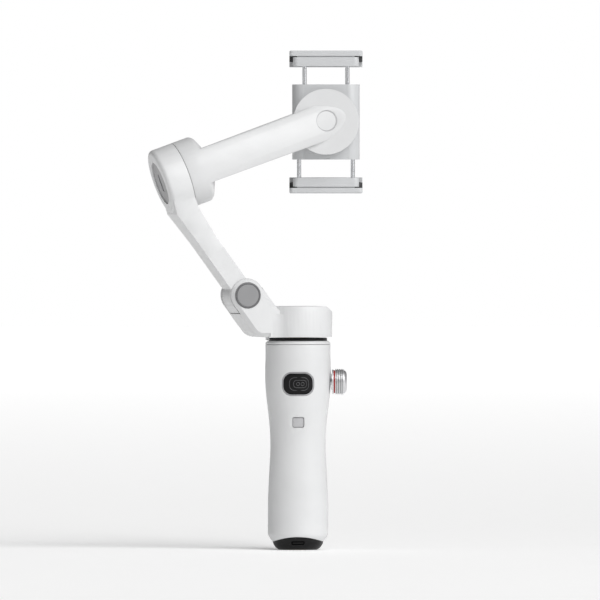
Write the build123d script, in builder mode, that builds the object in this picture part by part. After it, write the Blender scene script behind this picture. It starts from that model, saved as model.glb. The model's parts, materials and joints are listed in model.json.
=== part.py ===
from build123d import *
from math import cos, pi, radians, sin, sqrt
import os

os.makedirs("parts", exist_ok=True)

# Hand-held three-axis gimbal stabilizer for a phone, in millimetres.
# +Z is up and the pan axis is X = Y = 0. The origin is the mouth of the tripod thread.
# -Y is the subject's side, with the trigger. +Y is the user's side, with the joystick.

FIT = 0.05  # radial clearance of a running fit
GAP = 0.3  # clearance between bodies that don't touch

# Handle: height, half width and half depth of its oval sections
HANDLE_SECTIONS = [
    (9.6, 18.0, 16.2),
    (17.0, 18.0, 16.2),
    (26.0, 17.95, 16.1),
    (38.0, 17.6, 15.8),
    (50.0, 16.95, 15.4),
    (65.0, 16.5, 15.2),
    (82.0, 17.8, 16.9),
    (97.0, 19.4, 19.0),
    (112.0, 19.5, 19.5),
    (122.3, 19.5, 19.5),
]
BASE_SECTIONS = [
    (0.0, 11.6, 9.8),
    (1.0, 13.2, 11.4),
    (3.0, 14.6, 12.8),
    (4.7, 15.2, 13.4),
    (7.4, 17.15, 15.35),
    (8.5, 17.75, 15.95),
    (9.6, 18.0, 16.2),
]
WALL = 2.0
ARCH_SIDE_Z = 4.7
ARCH_TOP_Z = 7.8
FLOOR_Z = 10.0
CAVITY_TOP_Z = 122.3
COLLAR_TOP_Z = 124.6
TRIPOD_THREAD_R = 3.175
TRIPOD_THREAD_DEPTH = 9.0
INSERT_R = 6.0
INSERT_TOP_Z = 11.0
BATTERY_R = 9.1
BATTERY_Y = 1.6

# Controls
TRIGGER_Z = 99.0
TRIGGER_SIZE = (16.9, 12.0)
TRIGGER_CORNER = 5.0
BUTTON_Z = 76.1
BUTTON_SIZE = (6.5, 5.8)
WHEEL_Z = 100.1
WHEEL_R = 7.7
STICK_Z = 92.0
STICK_PIVOT_Y = 14.0
RECORD_Z = 74.5
MODE_Z = 65.0
PANEL_SIZE = (25.0, 47.0)
PANEL_Z = 83.5
SCREW_X = 9.5
SCREW_Z = (83.0, 111.0)

# Pan motor housing and folding arm, in a vertical plane turned by ARM_YAW about Z
ARM_YAW = 13.0
ARM_X = Vector(cos(radians(ARM_YAW)), sin(radians(ARM_YAW)), 0)
ARM_Y = Vector(-sin(radians(ARM_YAW)), cos(radians(ARM_YAW)), 0)
HOUSING_R = 20.4
HOUSING_BOTTOM_Z = 126.8
HOUSING_BAND_Z = 140.7
HOUSING_TOP_Z = 145.2
HOUSING_CAVITY_R = 16.8
HOUSING_CEILING_Z = 141.5
SEAL_R = 17.4
SEAL_TOP_Z = 126.4
TOP_COVER_R = 12.5
ARM_HALF_DEPTH = 14.5
HINGE_X = -33.9
HINGE_Z = 151.8
KNUCKLE_R = 10.3
EAR_INNER = 12.3
HINGE_PIN_R = 3.0
CAP_R = 7.7
HEEL_REACH = 10.2
HEEL_DROP = 5.7
STRAP_ANGLE = 126.2
STRAP_HALF = 5.55
STRAP_DEPTH = 11.75
FOLD_RANGE = 90.0

# Tilt motor: its axis rises by TILT_RISE in the arm's plane
TILT_X = -70.8
TILT_Z = 223.3
TILT_RISE = 20.0
TILT_R = 20.1
STATOR_LENGTH = 14.3
STATOR_INNER_R = 18.3
END_WALL = -13.1
SUBJECT_FLARE = (77.0, -18.0)
USER_FLARE = (75.0, 14.5)
ROTOR_LENGTH = 17.5
ROTOR_SHOULDER = 12.2
ROTOR_NOSE_R = 9.0

# Roll arm and roll motor
TONGUE_ROOT_HALF = 10.4
TONGUE_TIP_HALF = 10.9
TONGUE_SHIFT = 1.5
TONGUE_R = TILT_R - 0.06
TONGUE_BACK = 11.0
BADGE_R = 6.2
BADGE_SHIFT = 1.8
BADGE_FLOOR_R = 18.0
ROLL_X = 16.7
ROLL_Z = 255.2
ROLL_R = 19.6
ROLL_FRONT_Y = -14.0
ROLL_BACK_Y = -2.5
MOTOR_SHAFT_R = 2.0
HUB_R = 6.0
HUB_BORE_R = 4.0

# Phone clamp
BLOCK_WIDTH = 40.3
BLOCK_HEIGHT = 44.8
BLOCK_FRONT_Y = -2.0
BLOCK_BACK_Y = 9.0
PAD_BACK_Y = 10.4
PHONE_WIDTH = 71.5
JAW_HALF = 19.7
LIP_HALF = 21.85
LIP_BACK_Y = 22.5
LIP_TOP = 42.6
HOOK_LOW = 33.0
JAW_FRONT_Y = -0.5
HOOK_Y = 19.4
ROD_R = 1.25
UPPER_ROD_HALF = 12.8
LOWER_ROD_HALF = 16.05
UPPER_LAYER_Y = 5.1
LOWER_LAYER_Y = 2.1
PINION_R = 5.0
PINION_TEETH = 12

ARM_IN = ARM_X * cos(radians(TILT_RISE))
TILT_DIR = ARM_IN + Vector(0, 0, sin(radians(TILT_RISE)))
TILT_UP = Vector(0, 0, cos(radians(TILT_RISE))) - ARM_X * sin(radians(TILT_RISE))
TILT_CENTRE = ARM_X * TILT_X + Vector(0, 0, TILT_Z)
BASE_ALIGN = (Align.CENTER, Align.CENTER, Align.MIN)


def save(piece, label):
    """Label a finished piece and write it."""
    piece.part.label = label
    export_step(piece.part, f"parts/{label}.step")


def arm_plane(across=0.0):
    """Plane of the folding arm, facing the subject, moved across towards the user."""
    return Plane(origin=ARM_Y * across, x_dir=ARM_X, z_dir=-ARM_Y)


def plan_plane(height):
    """Horizontal plane turned with the arm."""
    return Plane(origin=(0, 0, height), x_dir=ARM_X, z_dir=(0, 0, 1))


def hinge_plane(across):
    """Plane square to the fold hinge."""
    centre = ARM_X * HINGE_X + Vector(0, 0, HINGE_Z) + ARM_Y * across
    return Plane(origin=centre, x_dir=ARM_X, z_dir=ARM_Y)


def tilt_plane(along):
    """Plane square to the tilt axis. Its x points to the user's side."""
    return Plane(origin=TILT_CENTRE + TILT_DIR * along, x_dir=ARM_Y, z_dir=TILT_DIR)


def tilt_side_plane(along=0.0, shift=0.0):
    """Plane through the tilt axis facing the subject, moved along and up from the axis."""
    origin = TILT_CENTRE + TILT_DIR * along + TILT_UP * shift
    return Plane(origin=origin, x_dir=TILT_DIR, z_dir=-ARM_Y)


def strap_plane():
    """Plane through the fold hinge, along the strap and square to the arm's plane."""
    origin = ARM_X * HINGE_X + Vector(0, 0, HINGE_Z)
    along = ARM_X * cos(radians(STRAP_ANGLE)) + Vector(0, 0, sin(radians(STRAP_ANGLE)))
    return Plane(origin=origin, x_dir=along, z_dir=along.cross(ARM_Y))


def roll_plane(depth):
    """Plane square to the roll axis, facing the user, at Y = depth."""
    return Plane(origin=(ROLL_X, depth, ROLL_Z), x_dir=(1, 0, 0), z_dir=(0, 1, 0))


def outward_plane(depth, low, up, x=ROLL_X):
    """Horizontal plane at Y = depth that faces away from the roll axis, from a height above it."""
    return Plane(origin=(x, depth, ROLL_Z + up * low), x_dir=(1, 0, 0), z_dir=(0, 0, up))


def wheel_plane(along):
    """Plane square to the side wheel's axis at X = along."""
    return Plane(origin=(along, 0, WHEEL_Z), x_dir=(0, 1, 0), z_dir=(1, 0, 0))


def rear_plane(depth, height, x=0.0):
    """Plane facing the user at Y = depth, centred on a control."""
    return Plane(origin=(x, depth, height), x_dir=(-1, 0, 0), z_dir=(0, 1, 0))


def front_plane(depth, height, x=0.0):
    """Plane facing the subject at Y = -depth, centred on a control."""
    return Plane(origin=(x, -depth, height), x_dir=(1, 0, 0), z_dir=(0, -1, 0))


def disc(plane, radius, length, mode=Mode.ADD):
    """Solid cylinder standing on a plane."""
    with Locations(plane):
        Cylinder(radius, length, align=BASE_ALIGN, mode=mode)


def ring(plane, outer, inner, length):
    """Tube standing on a plane."""
    with BuildSketch(plane) as outline:
        Circle(outer)
        Circle(inner, mode=Mode.SUBTRACT)
    extrude(outline.sketch, amount=length)


def pad(plane, size, corner, length, mode=Mode.ADD):
    """Rounded rectangular block standing on a plane."""
    with BuildSketch(plane) as outline:
        RectangleRounded(size[0], size[1], corner)
    extrude(outline.sketch, amount=length, mode=mode)


def oval_form(sections, inset=0.0, ruled=False, mode=Mode.ADD):
    """Body lofted through the handle's oval sections, drawn in by an inset."""
    ovals = []
    for height, half_width, half_depth in sections:
        with BuildSketch(Plane.XY.offset(height)) as oval:
            Ellipse(half_width - inset, half_depth - inset)
        ovals.append(oval.sketch)
    loft(ovals, ruled=ruled, mode=mode)


def arch_region():
    """Everything below the arched joint between the casing and the base cap."""
    reach = 24.0
    side = BASE_SECTIONS[3][1]
    with BuildSketch(Plane.XZ) as below:
        with BuildLine():
            ThreePointArc((-side, ARCH_SIDE_Z), (0, ARCH_TOP_Z), (side, ARCH_SIDE_Z))
            Polyline(
                (side, ARCH_SIDE_Z),
                (reach, ARCH_SIDE_Z - 3.0),
                (reach, -1),
                (-reach, -1),
                (-reach, ARCH_SIDE_Z - 3.0),
                (-side, ARCH_SIDE_Z),
            )
        make_face()
    return below.sketch


def motor_stator(plane, hub_length, core_start, core_length, core_r):
    """Hub tube with a nine-pole wound core around it."""
    ring(plane, HUB_R, HUB_BORE_R, hub_length)
    core_plane = plane.offset(core_start)
    with BuildSketch(core_plane) as core:
        Circle(core_r)
        Circle(HUB_R, mode=Mode.SUBTRACT)
        with PolarLocations((core_r + HUB_R + 2.0) / 2, 9):
            SlotOverall(core_r - HUB_R - 1.6, 1.6, mode=Mode.SUBTRACT)
    extrude(core.sketch, amount=core_length)


def bearing_pair(plane, first, second, width):
    """Two bearings in the hub tube, running on the shaft."""
    for start in (first, second):
        ring(plane.offset(start), HUB_BORE_R, MOTOR_SHAFT_R + FIT, width)


# ---------------------------------------------------------------- handle casing

with BuildPart() as handle_cavity:
    oval_form(HANDLE_SECTIONS, inset=WALL)
    with Locations((0, 0, 0)):
        Box(60, 60, FLOOR_Z, align=BASE_ALIGN, mode=Mode.SUBTRACT)
    # cross ribs that cradle the battery and the circuit board
    for rib_z in (24.0, 48.0, 70.0):
        with Locations((0, 0, rib_z)):
            Box(60, 60, 1.6, mode=Mode.SUBTRACT)

with BuildPart() as handle_casing:
    oval_form(HANDLE_SECTIONS)
    oval_form(BASE_SECTIONS, ruled=True)
    extrude(arch_region(), amount=30, both=True, mode=Mode.SUBTRACT)
    add(handle_cavity.part, mode=Mode.SUBTRACT)
    # room for the battery and the circuit board through the ribs
    with Locations((0, BATTERY_Y, FLOOR_Z + 3.0)):
        Cylinder(BATTERY_R + 0.1, 66.0, align=BASE_ALIGN, mode=Mode.SUBTRACT)
    with Locations((0, -8.4, FLOOR_Z + 4.0)):
        Box(19.2, 1.8, 56.0, align=BASE_ALIGN, mode=Mode.SUBTRACT)
    disc(Plane.XY, INSERT_R, INSERT_TOP_Z, mode=Mode.SUBTRACT)
    # bosses for the four casing screws, joined to the side walls
    for screw_z in SCREW_Z:
        for screw_x in (-SCREW_X, SCREW_X):
            with Locations((screw_x * 1.26, 0, screw_z)):
                Box(10.0, 12.0, 5.2)
            disc(rear_plane(-6.0, screw_z, screw_x), 1.0, 12.0, mode=Mode.SUBTRACT)
    # boss that carries the side wheel's shaft
    disc(wheel_plane(9.0), 5.0, 9.5)
    disc(wheel_plane(8.0), MOTOR_SHAFT_R + FIT, 14.0, mode=Mode.SUBTRACT)

with BuildPart() as handle_front_shell:
    add(handle_casing.part)
    split(bisect_by=Plane.XZ, keep=Keep.TOP)
    bezel_size = (TRIGGER_SIZE[0] + 2.4, TRIGGER_SIZE[1] + 2.4)
    button_hole = (BUTTON_SIZE[0] + 0.5, BUTTON_SIZE[1] + 0.5)
    pad(front_plane(8.0, TRIGGER_Z), bezel_size, TRIGGER_CORNER + 1, 14.0, Mode.SUBTRACT)
    pad(front_plane(8.0, BUTTON_Z, 0.2), button_hole, 1.1, 14.0, Mode.SUBTRACT)

with BuildPart() as handle_rear_shell:
    add(handle_casing.part)
    split(bisect_by=Plane.XZ, keep=Keep.BOTTOM)
    pad(rear_plane(7.0, PANEL_Z), PANEL_SIZE, 8.0, 16.0, Mode.SUBTRACT)

with BuildPart() as handle_top_collar:
    collar_bottom = CAVITY_TOP_Z + 0.3
    with BuildSketch(Plane.XZ):
        Polygon(
            (HUB_R, collar_bottom - 4.0),
            (17.3, collar_bottom - 4.0),
            (17.3, CAVITY_TOP_Z),
            (18.9, CAVITY_TOP_Z),
            (18.9, collar_bottom),
            (19.5, collar_bottom),
            (19.5, 123.3),
            (17.9, COLLAR_TOP_Z),
            (HUB_R, COLLAR_TOP_Z),
            align=None,
        )
    revolve(axis=Axis.Z)

with BuildPart() as base_cap:
    oval_form(BASE_SECTIONS, ruled=True)
    extrude(arch_region(), amount=30, both=True, mode=Mode.INTERSECT)
    disc(Plane.XY, INSERT_R, INSERT_TOP_Z, mode=Mode.SUBTRACT)
    pad(front_plane(7.0, 4.0), (9.0, 3.3), 1.6, 10.0, Mode.SUBTRACT)

with BuildPart() as tripod_insert:
    disc(Plane.XY, INSERT_R, INSERT_TOP_Z)
    disc(Plane.XY, TRIPOD_THREAD_R, TRIPOD_THREAD_DEPTH, mode=Mode.SUBTRACT)

with BuildPart() as usb_port:
    pad(front_plane(7.0, 4.0), (9.0, 3.3), 1.6, 5.6)
    pad(front_plane(7.8, 4.0), (8.2, 2.5), 1.2, 5.0, Mode.SUBTRACT)
    pad(front_plane(7.5, 4.0), (6.2, 0.7), 0.3, 4.3)

with BuildPart() as battery_cell:
    disc(Plane((0, BATTERY_Y, FLOOR_Z + 3.4)), BATTERY_R, 64.8)
    disc(Plane((0, BATTERY_Y, FLOOR_Z + 68.2)), 3.0, 0.8)

with BuildPart() as main_board:
    with Locations((0, -8.4, FLOOR_Z + 4.4)):
        Box(19.0, 1.6, 55.2, align=BASE_ALIGN)
    with Locations((0, -9.9, 36.0), (-3.0, -9.9, 60.0)):
        Box(8.0, 1.4, 8.0)

with BuildPart() as handle_screws:
    for screw_z in SCREW_Z:
        for screw_x in (-SCREW_X, SCREW_X):
            with Locations(rear_plane(-5.0, screw_z, screw_x)):
                Cylinder(1.0, 11.0, align=BASE_ALIGN)
            with Locations(rear_plane(6.0, screw_z, screw_x)):
                Cylinder(1.9, 1.5, align=BASE_ALIGN)

# ---------------------------------------------------------------- front controls

with BuildPart() as trigger_bezel:
    oval_form(HANDLE_SECTIONS, inset=0.25)
    with BuildSketch(front_plane(13.6, TRIGGER_Z)) as bezel_outline:
        RectangleRounded(bezel_size[0], bezel_size[1], TRIGGER_CORNER + 1)
        RectangleRounded(TRIGGER_SIZE[0] + 0.5, TRIGGER_SIZE[1] + 0.5, TRIGGER_CORNER, mode=Mode.SUBTRACT)
    extrude(bezel_outline.sketch, amount=8.0, mode=Mode.INTERSECT)

with BuildPart() as trigger:
    oval_form(HANDLE_SECTIONS, inset=0.1)
    with BuildSketch(front_plane(12.4, TRIGGER_Z)) as trigger_outline:
        RectangleRounded(TRIGGER_SIZE[0] - 0.1, TRIGGER_SIZE[1] - 0.1, TRIGGER_CORNER - 0.2)
    extrude(trigger_outline.sketch, amount=9.0, mode=Mode.INTERSECT)
    pad(front_plane(12.3, TRIGGER_Z), (TRIGGER_SIZE[0] + 1.9, TRIGGER_SIZE[1] + 1.9), TRIGGER_CORNER, 1.0)

with BuildPart() as function_button:
    oval_form(HANDLE_SECTIONS, inset=0.6)
    with BuildSketch(front_plane(11.8, BUTTON_Z, 0.2)) as button_outline:
        RectangleRounded(BUTTON_SIZE[0], BUTTON_SIZE[1], 0.9)
    extrude(button_outline.sketch, amount=6.0, mode=Mode.INTERSECT)
    pad(front_plane(11.8, BUTTON_Z, 0.2), (BUTTON_SIZE[0] + 1.8, BUTTON_SIZE[1] + 1.8), 0.9, 0.8)

# ---------------------------------------------------------------- side wheel

WHEEL_PROFILE_START = 19.9
RIB_COUNT = 5
RIB_PITCH = 1.06

with BuildPart() as focus_wheel:
    disc(wheel_plane(WHEEL_PROFILE_START), 4.65, 0.6)
    disc(wheel_plane(20.3), 7.3, 0.9)
    disc(wheel_plane(21.2), 5.6, 1.1)
    for rib in range(RIB_COUNT):
        disc(wheel_plane(22.3 + rib * RIB_PITCH), WHEEL_R, 0.6)
    with BuildSketch(Plane.XZ) as dome:
        with BuildLine():
            Polyline((22.3, WHEEL_Z), (22.3, WHEEL_Z + 6.9), (27.5, WHEEL_Z + 6.9))
            ThreePointArc((27.5, WHEEL_Z + 6.9), (28.6, WHEEL_Z + 6.0), (29.1, WHEEL_Z + 4.6))
            Polyline((29.1, WHEEL_Z + 4.6), (29.1, WHEEL_Z), (22.3, WHEEL_Z))
        make_face()
    revolve(dome.sketch, axis=Axis((0, 0, WHEEL_Z), (1, 0, 0)))
    disc(wheel_plane(19.0), MOTOR_SHAFT_R, 7.0, mode=Mode.SUBTRACT)

with BuildPart() as focus_wheel_ring:
    ring(wheel_plane(21.2), 6.9, 5.6, 1.1)

with BuildPart() as wheel_shaft:
    disc(wheel_plane(8.6), MOTOR_SHAFT_R, 17.4)
    disc(wheel_plane(7.4), 3.4, 1.2)

# ---------------------------------------------------------------- rear controls

with BuildPart() as control_panel:
    oval_form(HANDLE_SECTIONS, inset=-0.1)
    with BuildSketch(rear_plane(7.0, PANEL_Z)) as panel_outline:
        RectangleRounded(PANEL_SIZE[0], PANEL_SIZE[1], 8.0)
    extrude(panel_outline.sketch, amount=16.0, mode=Mode.INTERSECT)
    oval_form(HANDLE_SECTIONS, inset=1.7, mode=Mode.SUBTRACT)
    disc(rear_plane(6.0, STICK_Z), 8.2, 18.0, mode=Mode.SUBTRACT)
    disc(rear_plane(6.0, RECORD_Z), 5.3, 18.0, mode=Mode.SUBTRACT)
    pad(rear_plane(6.0, MODE_Z), (9.0, 4.4), 2.1, 18.0, Mode.SUBTRACT)
    for light in range(4):
        disc(rear_plane(6.0, 104.0, -4.5 + 3.0 * light), 0.7, 18.0, mode=Mode.SUBTRACT)

with BuildPart() as status_lights:
    oval_form(HANDLE_SECTIONS, inset=-0.1)
    with BuildSketch(rear_plane(15.5, 104.0)) as lights:
        with GridLocations(3.0, 1.0, 4, 1):
            Circle(0.7)
    extrude(lights.sketch, amount=8.0, mode=Mode.INTERSECT)

with BuildPart() as joystick_base:
    oval_form(HANDLE_SECTIONS, inset=0.3)
    with BuildSketch(rear_plane(8.4, STICK_Z)) as cup:
        Circle(8.2)
    extrude(cup.sketch, amount=14.0, mode=Mode.INTERSECT)
    disc(rear_plane(9.6, STICK_Z), 7.0, 14.0, mode=Mode.SUBTRACT)

with BuildPart() as joystick_yoke:
    ring(rear_plane(STICK_PIVOT_Y - 1.0, STICK_Z), 5.2, 3.8, 2.0)
    with BuildSketch(Plane.YZ.offset(4.6)) as yoke_pin:
        with Locations((STICK_PIVOT_Y, STICK_Z)):
            Circle(0.7)
    extrude(yoke_pin.sketch, amount=2.1)
    mirror(about=Plane.YZ)

with BuildPart() as joystick_cap:
    disc(rear_plane(STICK_PIVOT_Y - 2.2, STICK_Z), 2.0, 10.5)
    with BuildSketch(Plane.XY.offset(STICK_Z - 3.5)) as stick_pin:
        with Locations((0, STICK_PIVOT_Y)):
            Circle(0.7)
    extrude(stick_pin.sketch, amount=7.0)
    disc(rear_plane(21.8, STICK_Z), 5.5, 2.0)
    fillet(faces().sort_by(Axis.Y)[-1].edges(), radius=0.9)
    with Locations((0, 33.0, STICK_Z)):
        Sphere(10.0, mode=Mode.SUBTRACT)

with BuildPart() as record_button:
    disc(rear_plane(11.6, RECORD_Z), 5.0, 5.4)
    disc(rear_plane(11.6, RECORD_Z), 5.9, 0.8)
    fillet(faces().sort_by(Axis.Y)[-1].edges(), radius=0.5)

with BuildPart() as mode_button:
    pad(rear_plane(11.5, MODE_Z), (8.4, 3.8), 1.8, 4.6)
    pad(rear_plane(11.5, MODE_Z), (9.8, 5.2), 2.4, 0.8)
    fillet(faces().sort_by(Axis.Y)[-1].edges(), radius=0.4)

# ---------------------------------------------------------------- pan motor

with BuildPart() as pan_seal_ring:
    ring(Plane.XY.offset(COLLAR_TOP_Z), SEAL_R, 13.6, SEAL_TOP_Z - COLLAR_TOP_Z)
    fillet(edges().filter_by(GeomType.CIRCLE).sort_by(SortBy.RADIUS)[-1:], radius=0.4)

with BuildPart() as pan_stator:
    motor_stator(Plane.XY.offset(118.6), 21.6, 11.0, 9.0, 13.0)

with BuildPart() as pan_bearings:
    bearing_pair(Plane.XY.offset(118.6), 0.5, 18.6, 2.5)

with BuildPart() as pan_shaft:
    disc(Plane.XY.offset(118.0), MOTOR_SHAFT_R, HOUSING_TOP_Z - 1.5 - 118.0)

with BuildPart() as pan_rotor:
    ring(Plane.XY.offset(128.6), HOUSING_CAVITY_R, 14.0, 11.4)

# ---------------------------------------------------------------- pan housing and lower arm

strap_cos = cos(radians(STRAP_ANGLE))
strap_sin = sin(radians(STRAP_ANGLE))


def beside_hinge(offset, along=0.0):
    """Point in the arm's plane: offset square to the strap and along it, from the hinge."""
    return (
        HINGE_X + offset * strap_sin + along * strap_cos,
        HINGE_Z - offset * strap_cos + along * strap_sin,
    )


def down_to(offset, height):
    """Point where the strap line at this offset reaches a height."""
    along = (height - beside_hinge(offset)[1]) / strap_sin
    return beside_hinge(offset, along)


def is_outer_edge(edge):
    """True for the front face's edges from the knuckle down the left side and along the bottom."""
    middle = edge.center()
    away = middle.dot(ARM_X) - HINGE_X
    offset = away * strap_sin - (middle.Z - HINGE_Z) * strap_cos
    return offset < 0.5 - KNUCKLE_R or middle.Z < HOUSING_BOTTOM_Z + 3.0


with BuildPart() as arm_block:
    with BuildSketch(arm_plane()) as side_outline:
        left_foot = down_to(-KNUCKLE_R, HOUSING_BOTTOM_Z)
        right_foot = down_to(KNUCKLE_R, HOUSING_TOP_Z)
        Polygon(
            beside_hinge(-KNUCKLE_R),
            left_foot,
            (26.0, HOUSING_BOTTOM_Z),
            (26.0, 138.0),
            (14.0, HOUSING_TOP_Z),
            right_foot,
            beside_hinge(KNUCKLE_R),
            align=None,
        )
        foot_corner = side_outline.vertices().sort_by_distance((left_foot[0], left_foot[1], 0))[0]
        fillet(foot_corner, radius=9.0)
        top_corner = side_outline.vertices().sort_by_distance((right_foot[0], right_foot[1], 0))[0]
        fillet(top_corner, radius=3.0)
        with Locations((HINGE_X, HINGE_Z)):
            Circle(KNUCKLE_R)
    extrude(side_outline.sketch, amount=ARM_HALF_DEPTH, both=True)
    with Locations(plan_plane(HOUSING_BOTTOM_Z - 5.0)):
        with Locations((-13.5, 0, 0)):
            Box(60.0, 60.0, 60.0, align=(Align.MIN, Align.CENTER, Align.MIN), mode=Mode.SUBTRACT)
    front_face = faces().sort_by(Axis((0, 0, 0), -ARM_Y))[-1]
    chamfer([e for e in front_face.edges() if is_outer_edge(e)], length=2.6)

with BuildPart() as pan_housing:
    with BuildSketch(plan_plane(HOUSING_BOTTOM_Z)) as lower_plan:
        Circle(HOUSING_R)
        with Locations((-15.5, 0)):
            Rectangle(9.0, 2 * ARM_HALF_DEPTH)
        corner_x = -sqrt(HOUSING_R**2 - ARM_HALF_DEPTH**2)
        corners = lower_plan.vertices().filter_by_position(Axis.X, -60.0, 60.0)
        concave = [v for v in corners if abs(v.X - corner_x) < 0.01]
        fillet(concave, radius=12.5)
    extrude(lower_plan.sketch, amount=HOUSING_BAND_Z - HOUSING_BOTTOM_Z)
    disc(Plane.XY.offset(HOUSING_BOTTOM_Z), HOUSING_R, HOUSING_TOP_Z - HOUSING_BOTTOM_Z)
    extrude(side_outline.sketch, amount=30, both=True, mode=Mode.INTERSECT)
    add(arm_block.part)
    # motor room, shaft hole and the recess for the top cover
    disc(Plane.XY.offset(120.0), HOUSING_CAVITY_R, HOUSING_CEILING_Z - 120.0, mode=Mode.SUBTRACT)
    disc(Plane.XY.offset(120.0), MOTOR_SHAFT_R, 40.0, mode=Mode.SUBTRACT)
    disc(Plane.XY.offset(HOUSING_TOP_Z - 1.5), TOP_COVER_R + 0.15, 10.0, mode=Mode.SUBTRACT)
    # slot between the ears, swept by the folding strap
    with BuildSketch(arm_plane()) as swing:
        with Locations((HINGE_X, HINGE_Z)):
            Circle(KNUCKLE_R + 0.15)
        for step in range(7):
            with Locations(Location((HINGE_X, HINGE_Z, 0), (0, 0, STRAP_ANGLE + FOLD_RANGE * step / 6))):
                Rectangle(40.0, 2 * STRAP_HALF + 1.0, align=(Align.MIN, Align.CENTER))
    extrude(swing.sketch, amount=EAR_INNER, both=True, mode=Mode.SUBTRACT)
    # room inside the slot for the heel of the strap
    with BuildSketch(arm_plane()) as heel_swing:
        with Locations((HINGE_X, HINGE_Z)):
            Circle(sqrt(HEEL_REACH**2 + HEEL_DROP**2) + 0.3)
        with Locations(Location((*beside_hinge(KNUCKLE_R - 1.3), 0), (0, 0, STRAP_ANGLE))):
            Rectangle(60.0, 40.0, align=(Align.CENTER, Align.MIN), mode=Mode.INTERSECT)
    extrude(heel_swing.sketch, amount=EAR_INNER, both=True, mode=Mode.SUBTRACT)
    disc(hinge_plane(-20.0), HINGE_PIN_R, 40.0, mode=Mode.SUBTRACT)
    disc(hinge_plane(ARM_HALF_DEPTH - 0.6), CAP_R + 0.15, 5.0, mode=Mode.SUBTRACT)
    disc(hinge_plane(-ARM_HALF_DEPTH - 4.4), CAP_R + 0.15, 5.0, mode=Mode.SUBTRACT)
    # rotation stop under the arm's side
    with Locations(plan_plane(124.95)):
        with Locations((-18.7, 0, 0)):
            Box(1.8, 3.0, 3.0, align=BASE_ALIGN)

with BuildPart() as pan_top_cover:
    disc(Plane.XY.offset(HOUSING_TOP_Z - 1.5), TOP_COVER_R, 1.5)

# ---------------------------------------------------------------- fold hinge

with BuildPart() as hinge_pin:
    disc(hinge_plane(-13.9), HINGE_PIN_R, 27.8)

with BuildPart() as hinge_caps:
    disc(hinge_plane(ARM_HALF_DEPTH - 0.6), CAP_R, 0.9)
    disc(hinge_plane(ARM_HALF_DEPTH + 0.3), CAP_R - 1.2, 0.3)
    disc(hinge_plane(-ARM_HALF_DEPTH - 0.3), CAP_R, 0.9)
    disc(hinge_plane(-ARM_HALF_DEPTH - 0.6), CAP_R - 1.2, 0.3)

with BuildPart() as hinge_washers:
    ring(hinge_plane(STRAP_DEPTH + 0.25), 8.0, HINGE_PIN_R, 0.3)
    ring(hinge_plane(-EAR_INNER), 8.0, HINGE_PIN_R, 0.3)

# ---------------------------------------------------------------- upper arm

with BuildPart() as upper_arm_shell:
    flare = 1.35
    left_flare = 0.9
    reach = 64.2
    with BuildSketch(arm_plane()) as strap:
        Polygon(
            beside_hinge(-STRAP_HALF),
            beside_hinge(-STRAP_HALF, reach - 22.0),
            beside_hinge(-STRAP_HALF - left_flare, reach),
            beside_hinge(-STRAP_HALF - left_flare + 3.0, reach + 8.0),
            beside_hinge(STRAP_HALF + flare + 3.0, reach + 8.0),
            beside_hinge(STRAP_HALF + flare, reach - 4.0),
            beside_hinge(STRAP_HALF, reach - 26.0),
            beside_hinge(STRAP_HALF),
            align=None,
        )
        with Locations((HINGE_X, HINGE_Z)):
            Circle(KNUCKLE_R - 0.2)
        # heel that fills the slot beside the hinge while the arm stands open
        Polygon(
            beside_hinge(0.0, 0.0),
            beside_hinge(-HEEL_REACH, 0.0),
            beside_hinge(-HEEL_REACH, -HEEL_DROP),
            beside_hinge(0.0, -HEEL_DROP),
            align=None,
        )
    extrude(strap.sketch, amount=26.0, both=True)
    # the strap deepens towards the tilt motor until it meets it in a tangent
    with BuildSketch(strap_plane()) as depth_outline:
        with BuildLine():
            Line((-14.0, -STRAP_DEPTH), (-14.0, STRAP_DEPTH))
            Line((-14.0, STRAP_DEPTH), (57.0, STRAP_DEPTH))
            Spline((57.0, STRAP_DEPTH), USER_FLARE, tangents=((1, 0), (1, 0.3)))
            Line(USER_FLARE, SUBJECT_FLARE)
            Spline(SUBJECT_FLARE, (32.0, -STRAP_DEPTH), tangents=((-1, 0.3), (-1, 0)))
            Line((32.0, -STRAP_DEPTH), (-14.0, -STRAP_DEPTH))
        make_face()
    extrude(depth_outline.sketch, amount=40.0, both=True, mode=Mode.INTERSECT)
    disc(tilt_plane(0.0), TILT_R + 0.3, 40.0, mode=Mode.SUBTRACT)
    # casing of the tilt motor in one piece with the strap
    with BuildSketch(tilt_side_plane()) as casing_profile:
        Polygon((-STATOR_LENGTH, 0), (-STATOR_LENGTH, TILT_R), (0, TILT_R), (0, 0), align=None)
        fillet(casing_profile.vertices().sort_by_distance((-STATOR_LENGTH, TILT_R, 0))[0], radius=2.4)
    revolve(casing_profile.sketch, axis=Axis(TILT_CENTRE, TILT_DIR))
    disc(tilt_plane(END_WALL + 2.0), STATOR_INNER_R + 0.8, 14.0, mode=Mode.SUBTRACT)
    disc(tilt_plane(-STATOR_LENGTH - 1.0), 13.1, 2.2, mode=Mode.SUBTRACT)
    disc(hinge_plane(-20.0), HINGE_PIN_R + FIT, 40.0, mode=Mode.SUBTRACT)
    # cable channel, open to the user's side
    with BuildSketch(arm_plane(STRAP_DEPTH + 2.0)) as channel:
        Polygon(
            beside_hinge(-2.6, 12.0),
            beside_hinge(-2.6, 56.0),
            beside_hinge(2.6, 56.0),
            beside_hinge(2.6, 12.0),
            align=None,
        )
    extrude(channel.sketch, amount=16.0, mode=Mode.SUBTRACT)

with BuildPart() as upper_arm_cover:
    with BuildSketch(arm_plane(STRAP_DEPTH)) as channel_lid:
        Polygon(
            beside_hinge(-2.5, 12.1),
            beside_hinge(-2.5, 55.9),
            beside_hinge(2.5, 55.9),
            beside_hinge(2.5, 12.1),
            align=None,
        )
    extrude(channel_lid.sketch, amount=1.4)

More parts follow.
